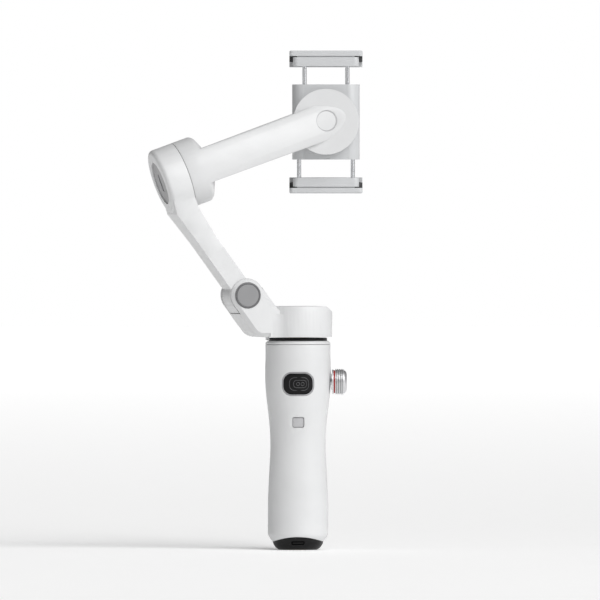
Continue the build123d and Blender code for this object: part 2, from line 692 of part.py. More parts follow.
with BuildPart() as arm_flex_cable:
    with BuildSketch(arm_plane(6.0)) as ribbon:
        Polygon(
            beside_hinge(-0.3, 13.0),
            beside_hinge(-0.3, 55.0),
            beside_hinge(0.3, 55.0),
            beside_hinge(0.3, 13.0),
            align=None,
        )
    extrude(ribbon.sketch, amount=7.0)

# ---------------------------------------------------------------- tilt motor

with BuildPart() as tilt_housing:
    ring(tilt_plane(END_WALL + 2.0), STATOR_INNER_R + 0.8, STATOR_INNER_R, -END_WALL - 2.2)

with BuildPart() as tilt_end_cap:
    disc(tilt_plane(END_WALL - 0.6), 12.9, 0.6)
    pad(tilt_plane(END_WALL - 0.6), (3.4, 11.0), 1.6, 0.4, Mode.SUBTRACT)

with BuildPart() as tilt_stator:
    motor_stator(tilt_plane(END_WALL + 2.0), 10.3, 1.6, 7.0, 13.0)

with BuildPart() as tilt_bearings:
    bearing_pair(tilt_plane(END_WALL + 2.0), 0.3, 7.6, 2.4)

with BuildPart() as tilt_rotor:
    ring(tilt_plane(-10.0), 17.5, 14.0, 19.0)

with BuildPart() as tilt_shaft:
    disc(tilt_plane(-10.9), MOTOR_SHAFT_R, 23.4)

# ---------------------------------------------------------------- roll arm

ROLL_ALONG = (ROLL_X - TILT_CENTRE.X) / TILT_DIR.X
BADGE_ALONG = ROLL_ALONG - TILT_R * sin(radians(ARM_YAW)) / TILT_DIR.X + 1.2
BADGE_CENTRE = TILT_CENTRE + TILT_DIR * BADGE_ALONG + TILT_UP * BADGE_SHIFT
TONGUE_END = ROLL_ALONG + 8.5


def badge_form(radius, inner, outer, mode=Mode.ADD):
    """Round piece curved like the tongue, between two radii from the tilt axis."""
    with BuildPart(mode=Mode.PRIVATE) as curved:
        ring(tilt_plane(BADGE_ALONG - 12.0), outer, inner, 24.0)
        with BuildSketch(Plane(origin=BADGE_CENTRE, x_dir=TILT_DIR, z_dir=-ARM_Y)) as round_outline:
            Circle(radius)
        extrude(round_outline.sketch, amount=40.0, mode=Mode.INTERSECT)
    add(curved.part, mode=mode)


with BuildPart() as roll_tongue:
    with BuildSketch(tilt_plane(GAP)) as tongue_section:
        Circle(TONGUE_R)
        with Locations((-TONGUE_BACK - 10.0, 0)):
            Rectangle(20.0, 2 * TONGUE_R, mode=Mode.INTERSECT)
    extrude(tongue_section.sketch, amount=TONGUE_END - GAP)
    with BuildSketch(tilt_side_plane(0.0, TONGUE_SHIFT)) as tongue_outline:
        Polygon(
            (GAP, -TONGUE_ROOT_HALF),
            (TONGUE_END, -TONGUE_TIP_HALF),
            (TONGUE_END, TONGUE_TIP_HALF),
            (GAP, TONGUE_ROOT_HALF),
            align=None,
        )
        fillet(tongue_outline.vertices().group_by(Axis.X)[-1], radius=TONGUE_TIP_HALF - 1.0)
    extrude(tongue_outline.sketch, amount=30.0, mode=Mode.INTERSECT)

with BuildPart() as roll_arm_shell:
    with BuildSketch(tilt_side_plane()) as rotor_profile:
        Polygon(
            (GAP, 0),
            (GAP, TILT_R),
            (ROTOR_SHOULDER, TILT_R),
            (ROTOR_LENGTH, ROTOR_NOSE_R),
            (ROTOR_LENGTH, 0),
            align=None,
        )
        fillet(rotor_profile.vertices().sort_by_distance((ROTOR_SHOULDER, TILT_R, 0))[0], radius=3.5)
        fillet(rotor_profile.vertices().sort_by_distance((ROTOR_LENGTH, ROTOR_NOSE_R, 0))[0], radius=3.0)
    revolve(rotor_profile.sketch, axis=Axis(TILT_CENTRE, TILT_DIR))
    add(roll_tongue.part)
    disc(roll_plane(ROLL_FRONT_Y), ROLL_R, ROLL_BACK_Y - ROLL_FRONT_Y)
    badge_form(BADGE_R + 0.1, BADGE_FLOOR_R, TILT_R + 4.0, Mode.SUBTRACT)
    disc(tilt_plane(-1.0), 17.5, 11.0, mode=Mode.SUBTRACT)
    disc(tilt_plane(0.0), MOTOR_SHAFT_R, 12.5, mode=Mode.SUBTRACT)
    disc(roll_plane(ROLL_FRONT_Y + 2.2), 17.2, 30.0, mode=Mode.SUBTRACT)

with BuildPart() as roll_arm_cover:
    cover_length = ROLL_ALONG - ROLL_R - ROTOR_LENGTH - 8.5
    cover_middle = ROTOR_LENGTH + 3.0 + cover_length / 2
    cover_plane = Plane(
        origin=TILT_CENTRE + TILT_DIR * cover_middle + TILT_UP * TONGUE_SHIFT - ARM_Y * TONGUE_BACK,
        x_dir=TILT_DIR,
        z_dir=ARM_Y,
    )
    pad(cover_plane, (cover_length, 14.0), 3.0, 0.8)

with BuildPart() as roll_badge:
    badge_form(BADGE_R, BADGE_FLOOR_R, TONGUE_R - 0.25)

with BuildPart() as roll_stator:
    motor_stator(roll_plane(ROLL_FRONT_Y + 2.2), 7.6, 0.8, 5.4, 12.2)

with BuildPart() as roll_bearings:
    bearing_pair(roll_plane(ROLL_FRONT_Y + 2.2), 0.2, 5.2, 2.2)

# ---------------------------------------------------------------- clamp base

with BuildPart() as roll_rotor:
    ring(roll_plane(-10.5), 15.8, 13.2, 6.9)
    disc(roll_plane(-3.6), 16.5, 1.6)
    disc(roll_plane(-12.0), MOTOR_SHAFT_R, 12.0, mode=Mode.SUBTRACT)

with BuildPart() as roll_shaft:
    disc(roll_plane(-11.6), MOTOR_SHAFT_R, 11.4)

with BuildPart() as clamp_base_shell:
    with Locations((ROLL_X, (BLOCK_FRONT_Y + BLOCK_BACK_Y) / 2, ROLL_Z)):
        Box(BLOCK_WIDTH, BLOCK_BACK_Y - BLOCK_FRONT_Y, BLOCK_HEIGHT)
    fillet(edges().filter_by(Axis.Z).group_by(Axis.Y)[0], radius=7.0)
    fillet(edges().filter_by(Axis.Z).group_by(Axis.Y)[-1], radius=2.0)
    with Locations((ROLL_X, 0.2, ROLL_Z)):
        Box(36.0, 20.0, 39.6, align=(Align.CENTER, Align.MIN, Align.CENTER), mode=Mode.SUBTRACT)
    disc(roll_plane(-5.0), MOTOR_SHAFT_R, 8.0, mode=Mode.SUBTRACT)
    for half, layer, up in ((UPPER_ROD_HALF, UPPER_LAYER_Y, 1), (LOWER_ROD_HALF, LOWER_LAYER_Y, -1)):
        for side in (-1, 1):
            rod_plane = outward_plane(layer, 0.0, up, ROLL_X + side * half)
            disc(rod_plane, ROD_R + FIT, 30.0, mode=Mode.SUBTRACT)
    # small locating notch under the block
    with Locations((ROLL_X, BLOCK_FRONT_Y, ROLL_Z - BLOCK_HEIGHT / 2)):
        Box(3.0, 1.2, 1.6, mode=Mode.SUBTRACT)

with BuildPart() as clamp_cover:
    with Locations((ROLL_X, BLOCK_BACK_Y - 1.5, ROLL_Z)):
        Box(35.8, 1.5, 39.4, align=(Align.CENTER, Align.MIN, Align.CENTER))
    # axle for the pinion and anchor post for the spring
    with Locations(Plane(origin=(ROLL_X, BLOCK_BACK_Y - 1.5, ROLL_Z), x_dir=(1, 0, 0), z_dir=(0, -1, 0))):
        Cylinder(1.2, 6.8, align=BASE_ALIGN)
    with Locations((ROLL_X - 9.0, UPPER_LAYER_Y + 0.5, ROLL_Z - 18.6)):
        Box(4.0, 3.9, 1.6)

with BuildPart() as clamp_pad:
    with Locations((ROLL_X, BLOCK_BACK_Y, ROLL_Z)):
        Box(34.0, PAD_BACK_Y - BLOCK_BACK_Y, 37.0, align=(Align.CENTER, Align.MIN, Align.CENTER))
    fillet(edges().filter_by(Axis.Y), radius=4.0)

SPRING_BOTTOM_Z = ROLL_Z - 17.8
SPRING_TOP_Z = ROLL_Z + 9.3
SPRING_PITCH = 2.7

SPRING_R = 1.4
SPRING_X = ROLL_X - 9.0

with BuildPart() as clamp_spring:
    with BuildLine(Plane((SPRING_X, UPPER_LAYER_Y, SPRING_BOTTOM_Z + 0.4))):
        Helix(SPRING_PITCH, SPRING_TOP_Z - SPRING_BOTTOM_Z - 0.8, SPRING_R)
    wire_start = (SPRING_X + SPRING_R, UPPER_LAYER_Y, SPRING_BOTTOM_Z + 0.4)
    with BuildSketch(Plane(origin=wire_start, x_dir=(1, 0, 0), z_dir=(0, 1, 0))):
        Circle(0.3)
    sweep(is_frenet=True)

TOOTH_PITCH = 2 * pi * PINION_R / PINION_TEETH

with BuildPart() as sync_pinion:
    with BuildSketch(roll_plane(0.8)) as gear:
        Circle(PINION_R - 0.6)
        with PolarLocations(PINION_R - 0.1, PINION_TEETH):
            Trapezoid(1.2, 1.5, 75, rotation=-90)
        Circle(1.2 + FIT, mode=Mode.SUBTRACT)
    extrude(gear.sketch, amount=6.2)


# ---------------------------------------------------------------- clamp jaws

PAD_EDGE = PHONE_WIDTH / 2 + 0.35


def jaw_box(half, near_y, far_y, low, high, up, mode=Mode.ADD):
    """Block of a jaw, with heights measured from the roll axis outwards."""
    size = (2 * half, far_y - near_y, high - low)
    with Locations((ROLL_X, near_y, ROLL_Z + up * (low + high) / 2)):
        Box(*size, align=(Align.CENTER, Align.MIN, Align.CENTER), mode=mode)


def jaw_solid(rod_half, layer, up):
    """Jaw with its near block, its lip over the phone's edge and its hook."""
    lip_middle = (LIP_BACK_Y + JAW_FRONT_Y) / 2
    lip_plane = outward_plane(lip_middle, HOOK_LOW, up)
    pad(lip_plane, (2 * LIP_HALF, LIP_BACK_Y - JAW_FRONT_Y), 2.2, LIP_TOP - HOOK_LOW)
    fillet(faces().sort_by(Axis((0, 0, 0), (0, 0, up)))[-1].edges(), radius=0.9)
    jaw_box(LIP_HALF + 1.0, JAW_FRONT_Y - 1.0, HOOK_Y, HOOK_LOW - 1.0, 39.4, up, Mode.SUBTRACT)
    block_middle = (9.4 + JAW_FRONT_Y) / 2
    block_plane = outward_plane(block_middle, 33.3, up)
    pad(block_plane, (2 * JAW_HALF, 9.4 - JAW_FRONT_Y), 3.0, 5.4)
    jaw_box(JAW_HALF - 2.5, 0.4, 9.4, 38.6, 39.5, up)
    for side in (-1, 1):
        disc(outward_plane(layer, 0.0, up, ROLL_X + side * rod_half), ROD_R, 37.5, mode=Mode.SUBTRACT)


def jaw_pad(up):
    """Rubber strip between the lip and the phone's edge."""
    jaw_box(LIP_HALF, 9.4, HOOK_Y, PAD_EDGE, 39.4, up)


def slide_frame(rod_half, layer, rack_side, up):
    """Two guide rods joined by a bar that carries the rack."""
    for side in (-1, 1):
        disc(outward_plane(layer, 9.3, up, ROLL_X + side * rod_half), ROD_R, 28.2)
    with Locations((ROLL_X, layer, ROLL_Z + up * 10.8)):
        Box(2 * rod_half + 2 * ROD_R, 2.4, 3.0)
    rack_x = ROLL_X + rack_side * (PINION_R + 2.1)
    with Locations((rack_x, layer, ROLL_Z + up * 1.0)):
        Box(2.2, 2.4, 20.0)
    for tooth in range(-5, 6):
        tooth_z = ROLL_Z + (tooth + 0.5) * TOOTH_PITCH
        if -8.5 < up * (tooth_z - ROLL_Z) < 9.0:
            with Locations((rack_x - rack_side * 1.4, layer, tooth_z)):
                Box(1.2, 2.4, 0.9)


with BuildPart() as upper_jaw:
    jaw_solid(UPPER_ROD_HALF, UPPER_LAYER_Y, 1)

with BuildPart() as upper_jaw_pad:
    jaw_pad(1)

with BuildPart() as upper_slide_frame:
    slide_frame(UPPER_ROD_HALF, UPPER_LAYER_Y, 1, 1)

with BuildPart() as lower_jaw:
    jaw_solid(LOWER_ROD_HALF, LOWER_LAYER_Y, -1)

with BuildPart() as lower_jaw_pad:
    jaw_pad(-1)

with BuildPart() as lower_slide_frame:
    slide_frame(LOWER_ROD_HALF, LOWER_LAYER_Y, -1, -1)

# ---------------------------------------------------------------- output

pieces = {
    "handle_front_shell": handle_front_shell,
    "handle_rear_shell": handle_rear_shell,
    "handle_top_collar": handle_top_collar,
    "base_cap": base_cap,
    "tripod_insert": tripod_insert,
    "usb_port": usb_port,
    "battery_cell": battery_cell,
    "main_board": main_board,
    "handle_screws": handle_screws,
    "trigger_bezel": trigger_bezel,
    "trigger": trigger,
    "function_button": function_button,
    "focus_wheel": focus_wheel,
    "focus_wheel_ring": focus_wheel_ring,
    "wheel_shaft": wheel_shaft,
    "control_panel": control_panel,
    "status_lights": status_lights,
    "joystick_base": joystick_base,
    "joystick_yoke": joystick_yoke,
    "joystick_cap": joystick_cap,
    "record_button": record_button,
    "mode_button": mode_button,
    "pan_seal_ring": pan_seal_ring,
    "pan_stator": pan_stator,
    "pan_bearings": pan_bearings,
    "pan_shaft": pan_shaft,
    "pan_rotor": pan_rotor,
    "pan_housing": pan_housing,
    "pan_top_cover": pan_top_cover,
    "hinge_pin": hinge_pin,
    "hinge_caps": hinge_caps,
    "hinge_washers": hinge_washers,
    "upper_arm_shell": upper_arm_shell,
    "upper_arm_cover": upper_arm_cover,
    "arm_flex_cable": arm_flex_cable,
    "tilt_housing": tilt_housing,
    "tilt_end_cap": tilt_end_cap,
    "tilt_stator": tilt_stator,
    "tilt_bearings": tilt_bearings,
    "tilt_rotor": tilt_rotor,
    "tilt_shaft": tilt_shaft,
    "roll_arm_shell": roll_arm_shell,
    "roll_arm_cover": roll_arm_cover,
    "roll_badge": roll_badge,
    "roll_stator": roll_stator,
    "roll_bearings": roll_bearings,
    "roll_rotor": roll_rotor,
    "roll_shaft": roll_shaft,
    "clamp_base_shell": clamp_base_shell,
    "clamp_cover": clamp_cover,
    "clamp_pad": clamp_pad,
    "clamp_spring": clamp_spring,
    "sync_pinion": sync_pinion,
    "upper_jaw": upper_jaw,
    "upper_jaw_pad": upper_jaw_pad,
    "upper_slide_frame": upper_slide_frame,
    "lower_jaw": lower_jaw,
    "lower_jaw_pad": lower_jaw_pad,
    "lower_slide_frame": lower_slide_frame,
}
for label, piece in pieces.items():
    save(piece, label)
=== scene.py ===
import json
import math

import bmesh
import bpy
from mathutils import Matrix, Vector
from mathutils.bvhtree import BVHTree


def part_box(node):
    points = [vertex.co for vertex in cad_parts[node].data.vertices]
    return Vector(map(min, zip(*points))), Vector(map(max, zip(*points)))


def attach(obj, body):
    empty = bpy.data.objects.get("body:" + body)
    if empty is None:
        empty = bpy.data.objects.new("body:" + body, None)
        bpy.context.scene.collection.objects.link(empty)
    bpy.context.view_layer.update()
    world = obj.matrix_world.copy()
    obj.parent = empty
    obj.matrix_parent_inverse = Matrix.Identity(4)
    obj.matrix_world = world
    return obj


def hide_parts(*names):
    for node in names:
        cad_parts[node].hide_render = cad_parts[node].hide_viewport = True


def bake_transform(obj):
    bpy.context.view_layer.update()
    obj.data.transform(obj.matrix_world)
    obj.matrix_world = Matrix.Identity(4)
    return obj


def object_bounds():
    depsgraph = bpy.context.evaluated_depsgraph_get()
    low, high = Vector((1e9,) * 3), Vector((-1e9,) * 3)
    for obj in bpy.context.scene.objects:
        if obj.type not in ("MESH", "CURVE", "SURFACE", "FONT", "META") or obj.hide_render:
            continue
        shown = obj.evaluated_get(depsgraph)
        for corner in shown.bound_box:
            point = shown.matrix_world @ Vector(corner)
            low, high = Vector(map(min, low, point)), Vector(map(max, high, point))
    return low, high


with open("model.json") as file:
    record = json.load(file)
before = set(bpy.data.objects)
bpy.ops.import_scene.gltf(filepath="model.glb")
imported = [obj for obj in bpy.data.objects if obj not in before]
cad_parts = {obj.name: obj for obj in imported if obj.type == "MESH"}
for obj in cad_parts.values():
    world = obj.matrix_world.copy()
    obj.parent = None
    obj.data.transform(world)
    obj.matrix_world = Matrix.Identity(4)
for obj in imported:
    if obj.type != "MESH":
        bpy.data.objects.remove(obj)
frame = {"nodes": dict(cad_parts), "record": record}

MM = 0.001
FULL_TURN = 2 * math.pi
UP = Vector((0, 0, 1))
record = frame["record"]
nodes = frame["nodes"]
cad_low, cad_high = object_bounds()


def centre(node):
    """Middle of a CAD node's box at rest."""
    low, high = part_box(node)
    return (low + high) / 2


def new_object(name, data):
    """Object linked to the scene."""
    made = bpy.data.objects.new(name, data)
    bpy.context.scene.collection.objects.link(made)
    return made


def aim(holder, direction):
    """Turn a camera or a light to look along a direction."""
    holder.rotation_euler = Vector(direction).to_track_quat("-Z", "Y").to_euler()


# ------------------------------------------------------------------ camera

CAMERA_DISTANCE = 6.0
CAMERA_HEIGHT = 0.19
FAR_CLIP = 40.0
VIEW_WIDTH = 0.3582
VIEW_CENTRE = Vector((0.0012, 0.0, 0.1489))
SENSOR_WIDTH = 36.0

camera_data = bpy.data.cameras.new("camera")
camera_data.sensor_width = SENSOR_WIDTH
camera_data.lens = SENSOR_WIDTH * CAMERA_DISTANCE / VIEW_WIDTH
camera_data.clip_end = FAR_CLIP
camera = new_object("camera", camera_data)
camera.location = (VIEW_CENTRE.x, -CAMERA_DISTANCE, CAMERA_HEIGHT)
aim(camera, VIEW_CENTRE - camera.location)
bpy.context.scene.camera = camera

# ------------------------------------------------------------------ floor and light

STRIP_TARGET = Vector((0, 0, 0.17))
LIGHT_ON_OBJECT = 0.2
LIGHT_ON_CAMERA = 1.0
FLOOR_HALF = 14.0
FLOOR_CELLS = 8
FLOOR_DROP = 0.2 * MM


def area_light(name, place, size, power):
    """Soft rectangular light aimed at the middle of the object."""
    data = bpy.data.lights.new(name, "AREA")
    data.shape = "RECTANGLE"
    data.size, data.size_y = size
    data.energy = power
    light = new_object(name, data)
    light.location = place
    aim(light, STRIP_TARGET - Vector(place))


def sky_light(name, towards, strength, spread):
    """Broad even light from far away, as from a large studio ceiling panel."""
    data = bpy.data.lights.new(name, "SUN")
    data.energy = strength
    data.angle = math.radians(spread)
    aim(new_object(name, data), towards)


sky_light("key_panel", towards=(-0.45, 0.6, -0.62), strength=2.5, spread=50)
area_light("strip_right", place=(0.9, -0.7, 0.35), size=(0.25, 0.9), power=1.35)
area_light("strip_left", place=(-0.9, -0.5, 0.35), size=(0.15, 0.9), power=0.35)

world = bpy.data.worlds.new("studio")
world.use_nodes = True
sky = world.node_tree
backdrop = sky.nodes["Background"]
backdrop.inputs["Color"].default_value = (1.0, 1.0, 1.0, 1.0)
seen = sky.nodes.new("ShaderNodeLightPath").outputs["Is Camera Ray"]
brightness = sky.nodes.new("ShaderNodeMapRange")
brightness.inputs["To Min"].default_value = LIGHT_ON_OBJECT
brightness.inputs["To Max"].default_value = LIGHT_ON_CAMERA
sky.links.new(seen, brightness.inputs["Value"])
sky.links.new(brightness.outputs["Result"], backdrop.inputs["Strength"])
bpy.context.scene.world = world
bpy.context.scene.view_settings.view_transform = "Standard"

floor_mesh = bpy.data.meshes.new("studio_floor")
floor_build = bmesh.new()
bmesh.ops.create_grid(floor_build, x_segments=FLOOR_CELLS, y_segments=FLOOR_CELLS, size=FLOOR_HALF)
floor_build.to_mesh(floor_mesh)
floor_build.free()
floor = new_object("studio_floor", floor_mesh)
floor.location = (0, 0, cad_low.z - FLOOR_DROP)

# ------------------------------------------------------------------ materials


class Nodes:
    """Short names for building a material's node tree around its Principled shader."""

    def __init__(self, name):
        self.material = bpy.data.materials.new(name)
        self.material.use_nodes = True
        self.tree = self.material.node_tree
        self.shader = self.tree.nodes["Principled BSDF"]
        self.place = self.add("ShaderNodeTexCoord").outputs["Object"]

    def add(self, kind, **settings):
        node = self.tree.nodes.new(kind)
        for key, value in settings.items():
            setattr(node, key, value)
        return node

    def link(self, source, target):
        self.tree.links.new(source, target)

    def feed(self, name, source):
        """Drive one of the shader's inputs."""
        self.link(source, self.shader.inputs[name])

    def fix(self, **values):
        """Set the shader's inputs to constants; an underscore stands for a space."""
        for key, value in values.items():
            self.shader.inputs[key.replace("_", " ")].default_value = value

    def noise(self, scale, detail=2.0, stretch=(1, 1, 1)):
        """Noise in metres, with scale cells in a metre."""
        mapping = self.add("ShaderNodeMapping")
        mapping.inputs["Scale"].default_value = stretch
        self.link(self.place, mapping.inputs["Vector"])
        noise = self.add("ShaderNodeTexNoise")
        noise.inputs["Scale"].default_value = scale
        noise.inputs["Detail"].default_value = detail
        self.link(mapping.outputs["Vector"], noise.inputs["Vector"])
        return noise.outputs["Fac"]

    def ramp(self, source, dark, light, low=0.3, high=0.7):
        """Colour or grey that follows a value between two stops."""
        ramp = self.add("ShaderNodeValToRGB")
        for element, position, colour in zip(ramp.color_ramp.elements, (low, high), (dark, light)):
            element.position = position
            element.color = colour
        self.link(source, ramp.inputs["Fac"])
        return ramp.outputs["Color"]

    def bump(self, height, depth):
        """Bump of a real depth in metres."""
        bump = self.add("ShaderNodeBump")
        bump.inputs["Distance"].default_value = depth
        self.link(height, bump.inputs["Height"])
        return bump.outputs["Normal"]


def grey(value):
    return (value, value, value, 1.0)


def shade(colour, factor):
    """Colour made darker or lighter."""
    return tuple(min(1.0, c * factor) for c in colour[:3]) + (1.0,)


def moulded_plastic(name, colour, roughness, grain=0.00002, contrast=0.03, coat=0.0, specular=0.5):
    """Moulded plastic with spark-eroded grain, slight blotches of tone and handling sheen."""
    m = Nodes(name)
    m.feed("Base Color", m.ramp(m.noise(38, 3.0), shade(colour, 1 - contrast), shade(colour, 1 + contrast)))
    m.feed("Roughness", m.ramp(m.noise(120, 4.0), grey(roughness - 0.05), grey(roughness + 0.05)))
    m.feed("Normal", m.bump(m.noise(5200), grain))
    m.fix(Coat_Weight=coat, Coat_Roughness=0.2, Specular_IOR_Level=specular)
    return m.material


def turned_metal(name, colour, roughness, stretch=(0.02, 0.02, 1), line_scale=9000, depth=0.000006):
    """Metal with fine lathe or draw lines, which run along the directions that are stretched."""
    m = Nodes(name)
    lines = m.noise(line_scale, 3.0, stretch)
    m.feed("Base Color", m.ramp(m.noise(60, 3.0), shade(colour, 0.94), shade(colour, 1.04)))
    m.feed("Roughness", m.ramp(lines, grey(roughness - 0.06), grey(roughness + 0.08), low=0.25, high=0.75))
    m.feed("Normal", m.bump(lines, depth))
    m.fix(Metallic=1.0)
    return m.material


def soft_rubber(name, colour, roughness):
    """Silicone rubber with a dusty matte skin."""
    m = Nodes(name)
    dust = m.noise(260, 5.0)
    m.feed("Base Color", m.ramp(dust, shade(colour, 0.85), shade(colour, 1.5), low=0.35, high=0.75))
    m.feed("Roughness", m.ramp(m.noise(900, 3.0), grey(roughness - 0.06), grey(roughness + 0.06)))
    m.feed("Normal", m.bump(m.noise(3600, 3.0), 0.00003))
    m.fix(Sheen_Weight=0.15, Sheen_Roughness=0.5)
    return m.material


def studio_paper(near=0.4, far=8.0):
    """Matte paper that glows a little more with distance, so that it fades into the backdrop."""
    m = Nodes("studio_paper")
    m.feed("Base Color", m.ramp(m.noise(40, 3.0), grey(0.93), grey(0.95)))
    m.feed("Normal", m.bump(m.noise(900, 3.0), 0.0001))
    distance = m.add("ShaderNodeVectorMath", operation="LENGTH")
    m.link(m.place, distance.inputs[0])
    glow = m.add("ShaderNodeMapRange")
    for key, value in (("From Min", near), ("From Max", far), ("To Min", 0.22), ("To Max", 0.42)):
        glow.inputs[key].default_value = value
    m.link(distance.outputs["Value"], glow.inputs["Value"])
    m.feed("Emission Strength", glow.outputs["Result"])
    m.fix(Emission_Color=grey(1.0), Roughness=0.9)
    return m.material


floor.data.materials.append(studio_paper())

slot_colour = {material["slot"]: material["base_color"] for material in record["materials"]}
black = slot_colour["black_plastic"]

# name: (maker, colour, roughness, other settings)
FINISHES = {
    "white_casing": (moulded_plastic, shade(slot_colour["white_casing"], 0.77), 0.42, {}),
    "black_plastic": (moulded_plastic, shade(black, 0.35), 0.42, {"contrast": 0.12, "specular": 0.28}),
    "bezel_grey": (moulded_plastic, slot_colour["bezel_grey"], 0.38, {"contrast": 0.06}),
    "cap_grey": (moulded_plastic, shade(slot_colour["cap_grey"], 0.5), 0.36, {"contrast": 0.05}),
    "button_grey": (moulded_plastic, (0.46, 0.46, 0.47), 0.3, {"coat": 0.2}),
    "cap_black": (moulded_plastic, shade(black, 0.16), 0.36, {"contrast": 0.12, "specular": 0.2}),
    # dark grey of painted shade for the rims of the hinge caps
    "rim_painted_shade": (moulded_plastic, (0.13, 0.13, 0.135), 0.34, {"contrast": 0.04}),
    "relief_black": (moulded_plastic, (0.045, 0.045, 0.048), 0.3, {"contrast": 0.1}),
    "clamp_grey": (
        moulded_plastic,
        shade(slot_colour["clamp_grey"], 0.83),
        0.4,
        {"grain": 0.000007, "contrast": 0.02},
    ),
    "rubber_pad": (soft_rubber, slot_colour["rubber_pad"], 0.75, {}),
    "wheel_silver": (turned_metal, slot_colour["wheel_silver"], 0.4, {"stretch": (1, 0.02, 0.02)}),
    "wheel_red": (moulded_plastic, slot_colour["wheel_red"], 0.25, {"contrast": 0.1, "coat": 0.3}),
    "badge_grey": (moulded_plastic, slot_colour["badge_grey"], 0.3, {"contrast": 0.02, "coat": 0.2}),
    "rod_steel": (
        turned_metal,
        slot_colour["rod_steel"],
        0.22,
        {"stretch": (1, 1, 0.01), "line_scale": 1400, "depth": 0.0000004},
    ),
    "bearing_steel": (turned_metal, slot_colour["bearing_steel"], 0.2, {}),
    "insert_brass": (turned_metal, slot_colour["insert_brass"], 0.3, {}),
    "magnet_iron": (turned_metal, slot_colour["magnet_iron"], 0.35, {}),
    "stator_iron": (turned_metal, slot_colour["stator_iron"], 0.4, {}),
    "battery_wrap": (moulded_plastic, slot_colour["battery_wrap"], 0.25, {"contrast": 0.08, "coat": 0.2}),
    "board_green": (moulded_plastic, slot_colour["board_green"], 0.35, {"contrast": 0.15}),
    "flex_amber": (moulded_plastic, slot_colour["flex_amber"], 0.3, {"contrast": 0.1}),
    "light_guide": (moulded_plastic, slot_colour["light_guide"], 0.2, {"contrast": 0.02, "coat": 0.4}),
}
materials = {
    name: maker(name, colour, roughness, **settings)
    for name, (maker, colour, roughness, settings) in FINISHES.items()
}

# nodes whose finish differs from their slot's
NODE_FINISH = {
    "base_cap": "cap_black",
    "trigger": "cap_black",
    "pan_seal_ring": "cap_black",
    "usb_port": "black_plastic",
    "function_button": "button_grey",
    "hinge_caps": "cap_grey",
    "tilt_end_cap": "cap_grey",
    "roll_badge": "white_casing",
}
for entry in record["subparts"]:
    name = entry["node"]
    worn = nodes[name].data.materials
    worn.clear()
    worn.append(materials[NODE_FINISH.get(name, entry["material_slot"])])

# ------------------------------------------------------------------ softened edges

WELD_REACH = 0.002 * MM
SHARP_ANGLE = math.radians(38)

# moulding radius in millimetres
SOFT_EDGES = {
    "handle_front_shell": 0.25,
    "handle_rear_shell": 0.25,
    "handle_top_collar": 0.2,
    "base_cap": 0.25,
    "trigger": 0.25,
    "trigger_bezel": 0.12,
    "function_button": 0.2,
    "pan_housing": 0.45,
    "pan_top_cover": 0.15,
    "hinge_caps": 0.12,
    "upper_arm_shell": 0.5,
    "upper_arm_cover": 0.2,
    "tilt_end_cap": 0.15,
    "roll_arm_shell": 0.35,
    "roll_arm_cover": 0.2,
    "clamp_base_shell": 0.4,
    "clamp_cover": 0.15,
    "clamp_pad": 0.3,
    "upper_jaw": 0.3,
    "lower_jaw": 0.3,
    "control_panel": 0.2,
}
for name, radius in SOFT_EDGES.items():
    weld = nodes[name].modifiers.new("weld", "WELD")
    weld.merge_threshold = WELD_REACH
    bevel = nodes[name].modifiers.new("moulded_edge", "BEVEL")
    bevel.width = radius * MM
    bevel.segments = 2
    bevel.limit_method = "ANGLE"
    bevel.angle_limit = SHARP_ANGLE
    bevel.use_clamp_overlap = True
    bevel.harden_normals = True

# ------------------------------------------------------------------ shape helpers


def finish_piece(name, build, slot, finish=None):
    """Turn a finished bmesh into a smooth object."""
    mesh = bpy.data.meshes.new(name)
    bmesh.ops.recalc_face_normals(build, faces=build.faces)
    build.to_mesh(mesh)
    build.free()
    mesh.shade_smooth()
    mesh.materials.append(materials[finish or slot])
    made = new_object(name, mesh)
    return made


def piece(name, build, body, slot, finish=None):
    """Finished object that rides on a body."""
    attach(finish_piece(name, build, slot, finish), body)


def turned(count):
    """Angles that share a full turn equally."""
    return [FULL_TURN * step / count for step in range(count)]


def radial(angle):
    """Unit vector square to z at an angle from x."""
    return Vector((math.cos(angle), math.sin(angle), 0))


def frame_of(axis, side, spot):
    """Place at a spot whose z is an axis and whose x leans towards a side direction."""
    z = Vector(axis).normalized()
    x = (Vector(side) - z * Vector(side).dot(z)).normalized()
    return Matrix.Translation(spot) @ Matrix((x, z.cross(x), z)).transposed().to_4x4()


def skin(build, loops, ring=False):
    """Faces between neighbouring loops of points; a ring closes on itself, anything else gets end caps."""
    loops = [[build.verts.new(point) for point in loop] for loop in loops]
    following = loops[1:] + loops[:1] if ring else loops[1:]
    for first, second in zip(loops, following):
        for step in range(len(first)):
            after = (step + 1) % len(first)
            build.faces.new((first[step], first[after], second[after], second[step]))
    if not ring:
        build.faces.new(loops[0])
        build.faces.new(loops[-1])


def ridge(build, start, end, up, half, height, sink):
    """Rounded bar from start to end, standing on a surface whose normal is up."""
    along = (end - start).normalized()
    across = along.cross(up).normalized()
    arc = [(half * math.cos(angle), height * math.sin(angle)) for angle in turned(12)[:7]]
    outline = [(half, -sink)] + arc + [(-half, -sink)]
    tip = 0.35
    loops = []
    for spot, shrink in ((start, tip), (start + along * half, 1.0), (end - along * half, 1.0), (end, tip)):
        loop = []
        for side, rise in outline:
            lifted = rise * shrink if rise > 0 else rise
            loop.append(spot + across * side * shrink + up * lifted)
        loops.append(loop)
    skin(build, loops)


